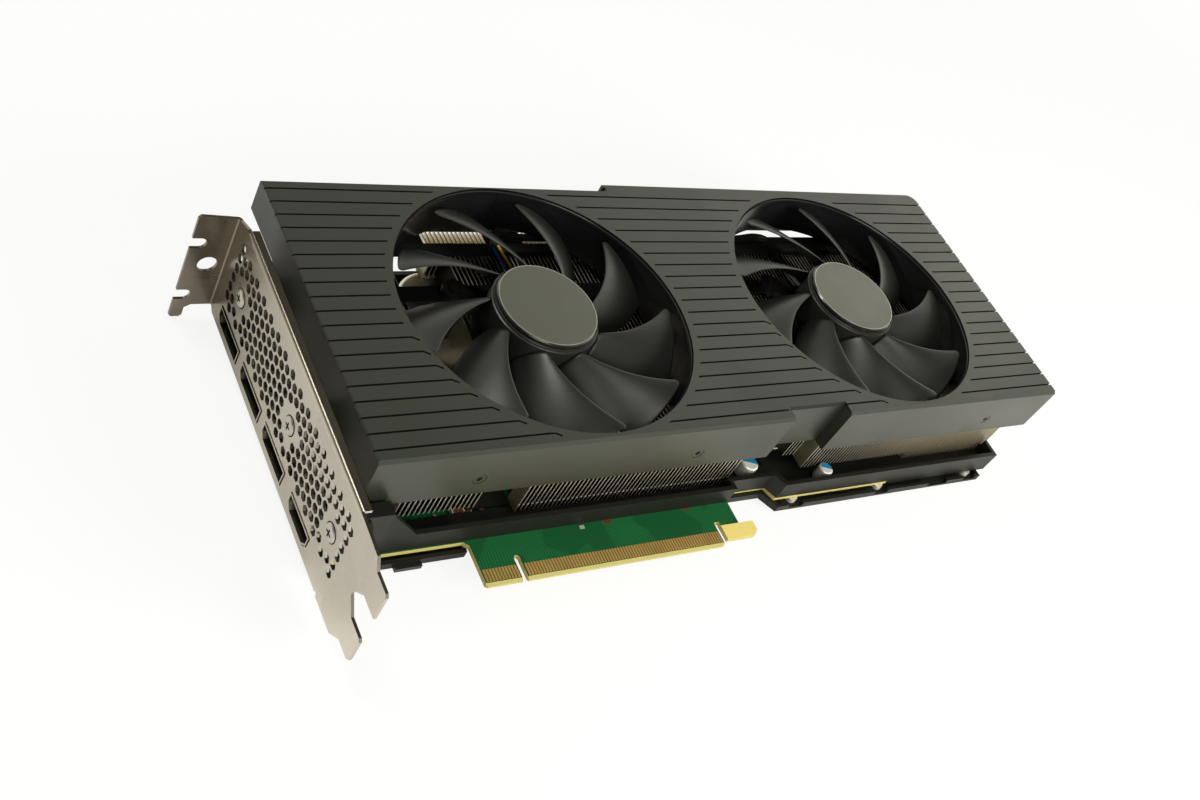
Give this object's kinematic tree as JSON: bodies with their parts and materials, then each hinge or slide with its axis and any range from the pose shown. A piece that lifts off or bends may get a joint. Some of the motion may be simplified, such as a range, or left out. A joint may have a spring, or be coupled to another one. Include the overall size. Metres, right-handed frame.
{
  "type": "graphics card",
  "caption": "Graphics card with axial fans in a grooved dark shroud, finned heat sink, perforated metal bracket with display sockets, and a gold edge connector.",
  "frame": {"origin": "centre of the key notch on the contact edge, at the board's component face", "axes": "+X along the card away from the bracket, +Y from the contact edge to the far edge, +Z from the board to the fans"},
  "size_m": [0.2876, 0.1327, 0.0433],
  "materials": {
    "shroud": "matte charcoal paint over a moulded shell",
    "fan": "matte moulded black",
    "hub_cap": "satin grey disc with a polished edge",
    "black_frame": "satin black paint",
    "black_plastic": "moulded black",
    "plated_steel": "nickel-plated sheet",
    "steel": "bare steel",
    "black_screw": "black oxide",
    "fin": "warm nickel-plated sheet",
    "pipe": "nickel-plated copper",
    "magnet": "sintered",
    "core": "stacked sheet",
    "copper": "enamelled copper",
    "bronze": "sintered bronze",
    "board": "green solder mask with cream laminate edges",
    "gold": "gold plate",
    "chip": "moulded package",
    "substrate": "green laminate",
    "silicon": "polished silicon",
    "pad": "soft gap filler",
    "can": "drawn aluminium with a blue mark",
    "wire": "coloured insulation",
    "foam": "closed-cell black foam",
    "ivory": "ivory nylon"
  },
  "bodies": {
    "card": {"shroud": "shroud", "shroud_clips": "plated_steel", "shroud_screws": "black_screw", "fan_screws": "black_screw", "motor_screws": "black_screw", "air_seals": "foam", "standoffs": "steel", "fan_plugs": "ivory", "fan_headers": "ivory", "fin_stack_left": "fin", "fin_stack_middle": "fin", "fin_stack_right": "fin", "heat_pipes": "pipe", "cold_plate": "pipe", "mid_frame": "black_frame", "circuit_board": "board", "edge_contacts": "gold", "graphics_chip": "substrate", "graphics_die": "silicon", "memory_chips": "chip", "thermal_pads": "pad", "power_chokes": "chip", "power_stages": "chip", "can_capacitors": "can", "backplate": "black_frame", "backplate_screws": "black_screw", "spring_plate": "steel", "spring_screws": "steel", "io_bracket": "plated_steel", "bracket_screws": "steel", "displayport_shells": "plated_steel", "hdmi_shell": "plated_steel", "socket_tongues": "black_plastic", "power_sockets": "black_plastic", "power_pins": "gold", "fan_frame_1": "black_plastic", "motor_base_1": "black_plastic", "shaft_bearing_1": "bronze", "stator_1": "core", "stator_coils_1": "copper", "motor_board_1": "board", "fan_lead_1": "wire", "fan_frame_2": "black_plastic", "motor_base_2": "black_plastic", "shaft_bearing_2": "bronze", "stator_2": "core", "stator_coils_2": "copper", "motor_board_2": "board", "fan_lead_2": "wire"},
    "fan_1": {"impeller_1": "fan", "hub_cap_1": "hub_cap", "rotor_yoke_1": "steel", "rotor_magnet_1": "magnet", "fan_shaft_1": "steel"},
    "fan_2": {"impeller_2": "fan", "hub_cap_2": "hub_cap", "rotor_yoke_2": "steel", "rotor_magnet_2": "magnet", "fan_shaft_2": "steel"}
  },
  "joints": [
    {"name": "fan_1_spin", "type": "hinge", "parent": "card", "child": "fan_1", "pos_m": [0.02165, 0.06776, 0.03], "axis": [0, 0, 1], "continuous": true},
    {"name": "fan_2_spin", "type": "hinge", "parent": "card", "child": "fan_2", "pos_m": [0.14855, 0.06776, 0.03], "axis": [0, 0, 1], "continuous": true}
  ]
}
